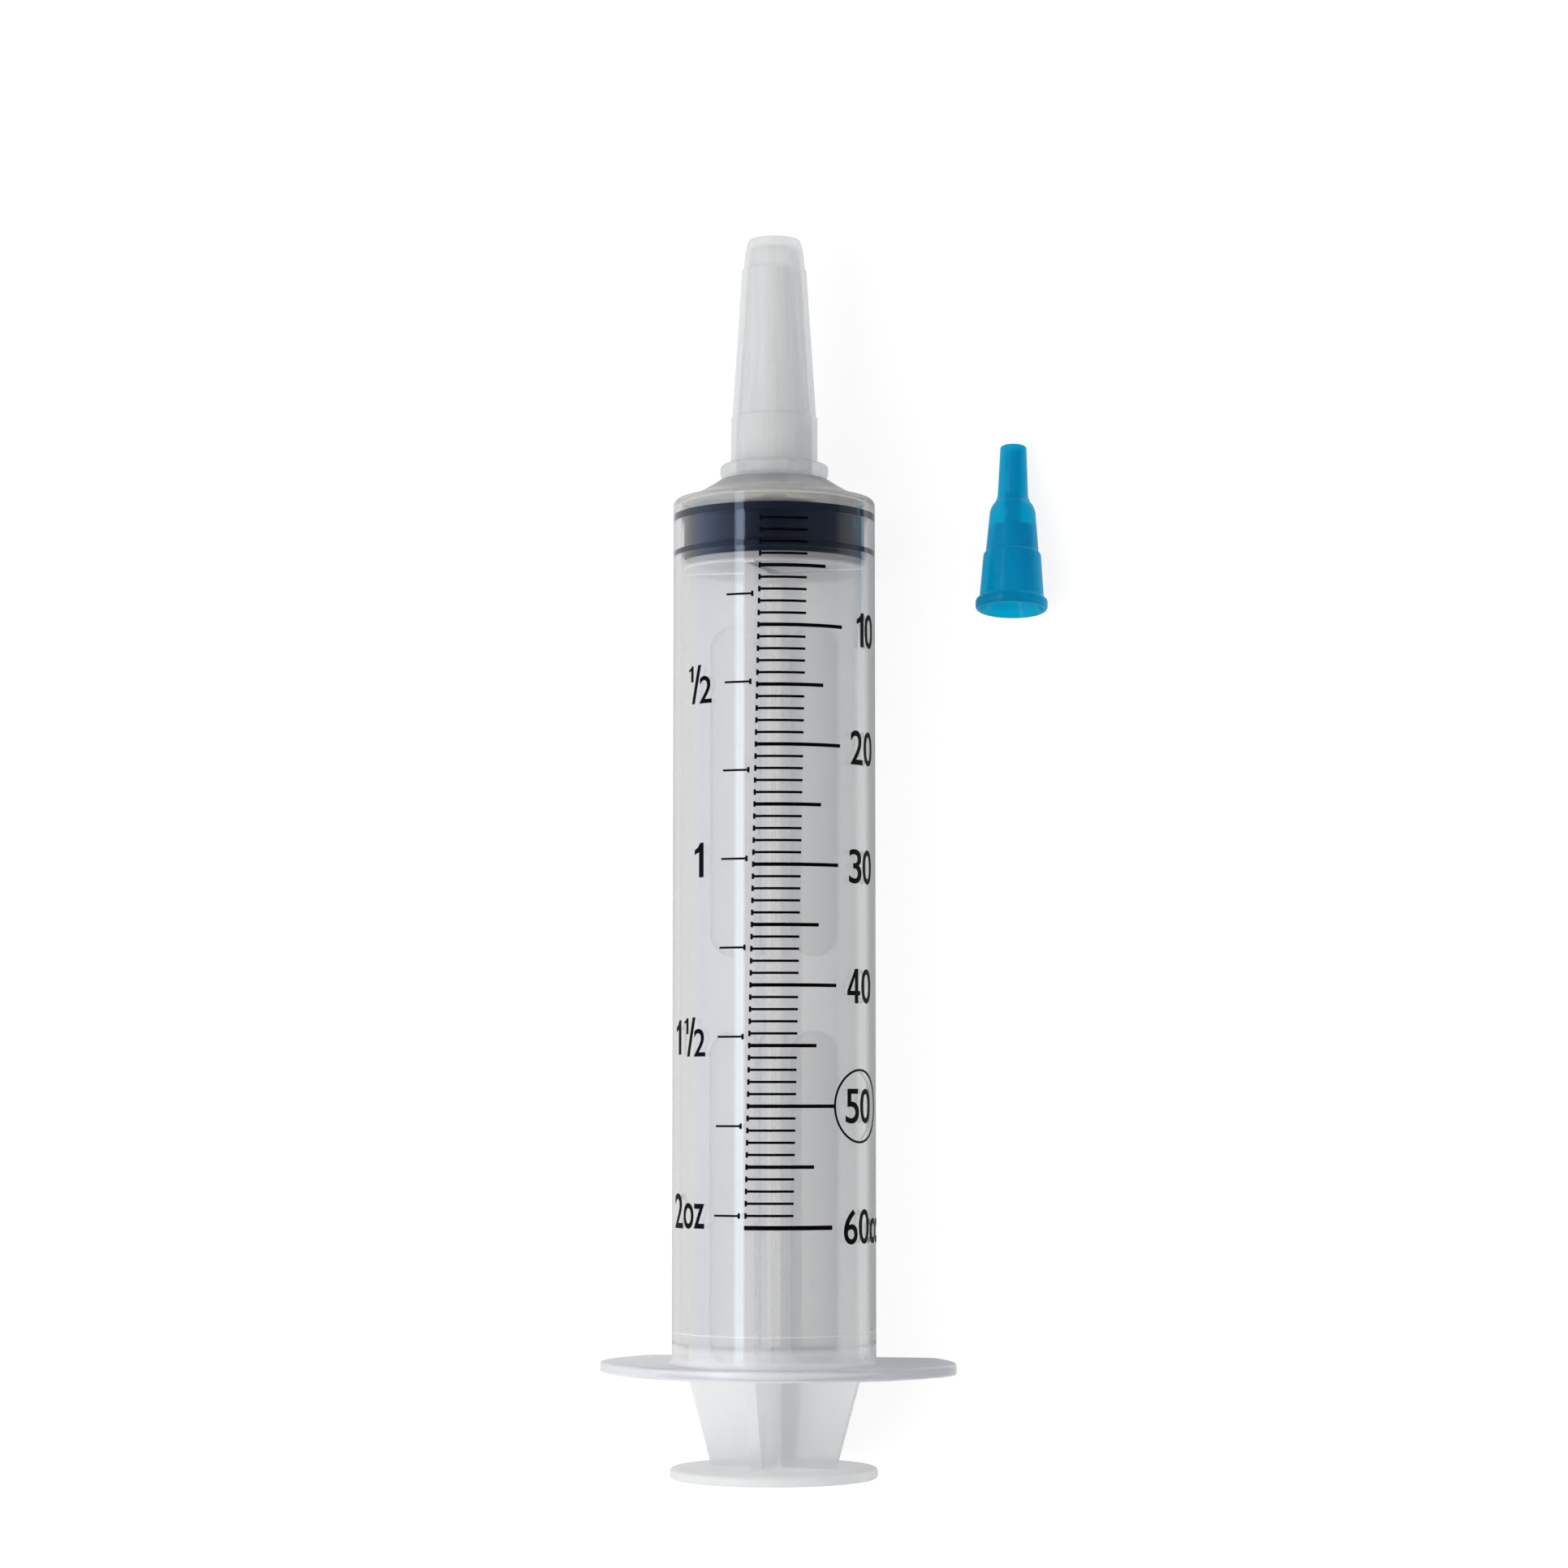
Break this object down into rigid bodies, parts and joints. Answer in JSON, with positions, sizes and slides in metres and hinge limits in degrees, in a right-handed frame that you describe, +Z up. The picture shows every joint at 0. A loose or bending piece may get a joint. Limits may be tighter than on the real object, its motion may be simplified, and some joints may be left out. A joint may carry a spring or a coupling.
{
  "type": "irrigation syringe",
  "caption": "Large clear catheter-tip irrigation syringe with a D-shaped finger flange, ribbed plunger, rubber stopper, tip cap and a loose blue stepped tube adapter.",
  "frame": {"origin": "on the table, in the middle of the finger flange's straight edge", "axes": "+Y along the barrel towards the catheter tip, +Z up from the table that the syringe lies on, +X to the right seen from above with the tip pointing away"},
  "size_m": [0.0654, 0.1807, 0.0326],
  "materials": {
    "clear_polypropylene": "clear, glossy",
    "milky_polypropylene": "milky, satin",
    "milky_polyethylene": "milky, soft satin",
    "blue_polyethylene": "translucent blue, glossy",
    "butyl_rubber": "black, faint sheen",
    "black_ink": "printed"
  },
  "bodies": {
    "barrel": {"barrel_tube": "clear_polypropylene", "barrel_shoulder": "clear_polypropylene", "catheter_tip": "clear_polypropylene", "finger_flange": "clear_polypropylene", "cc_long_marks": "black_ink", "cc_medium_marks": "black_ink", "cc_short_marks": "black_ink", "oz_marks": "black_ink"},
    "piston": {"stopper": "butyl_rubber"},
    "plunger_rod": {"rod_head": "milky_polypropylene", "rod_front_disc": "milky_polypropylene", "rod_ribs": "milky_polypropylene", "thumb_disc": "milky_polypropylene"},
    "cap": {"tip_cap": "milky_polyethylene"},
    "adapter": {"tube_adapter": "blue_polyethylene"}
  },
  "joints": [
    {"name": "plunger_slide", "type": "slide", "parent": "barrel", "child": "piston", "axis": [0, -1, 0.0084], "range_m": [0, 0.108]},
    {"name": "plunger_twist", "type": "hinge", "parent": "piston", "child": "plunger_rod", "pos_m": [0, 0.11795, 0.01481], "axis": [0, 1, -0.0084], "continuous": true},
    {"name": "cap_pull", "type": "slide", "parent": "barrel", "child": "cap", "axis": [0, 1, -0.0084], "range_m": [0, 0.045]},
    {"name": "adapter_lift", "type": "slide", "parent": "barrel", "child": "adapter", "axis": [0, 0, 1], "range_m": [0, 0.06]}
  ]
}
